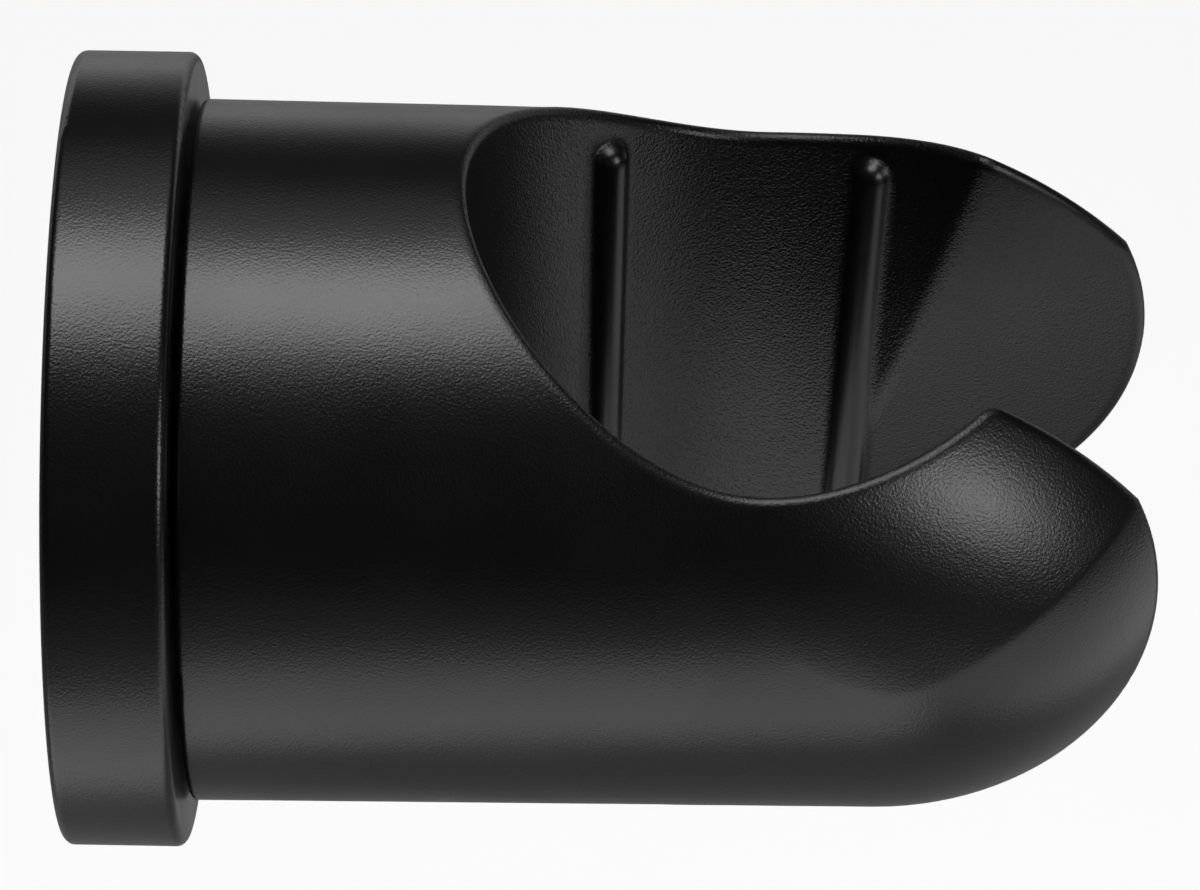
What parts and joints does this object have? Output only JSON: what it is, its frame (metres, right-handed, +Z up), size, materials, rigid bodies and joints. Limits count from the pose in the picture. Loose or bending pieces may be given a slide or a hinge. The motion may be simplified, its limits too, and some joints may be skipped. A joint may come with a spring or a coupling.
{
  "type": "hand shower holder",
  "caption": "Round wall-mounted hand shower holder in grained black plastic: a flange carries a short barrel that turns, with a tapered ribbed socket and a hose slot in its forked end.",
  "frame": {"origin": "centre of the flange's back face, on the wall", "axes": "+X out of the wall along the holder's barrel, +Z up along the socket as it is mounted, +Y to the far side as the picture shows it"},
  "size_m": [0.0491, 0.0362, 0.0362],
  "materials": {
    "black_plastic": "satin with a fine moulded grain",
    "white_plastic": "satin",
    "steel": "plain stainless steel",
    "brass": "turned",
    "rubber": "smooth black rubber"
  },
  "bodies": {
    "base": {"wall_flange": "black_plastic", "pivot_screw": "steel", "flat_washer": "steel", "spring_washer": "steel", "threaded_insert": "brass", "friction_washer": "white_plastic", "hub_ring": "rubber"},
    "holder": {"holder_body": "black_plastic", "screw_cap": "black_plastic"}
  },
  "joints": [
    {"name": "holder_swivel", "type": "hinge", "parent": "base", "child": "holder", "pos_m": [0.0107, 0, 0], "axis": [1, 0, 0], "continuous": true}
  ]
}
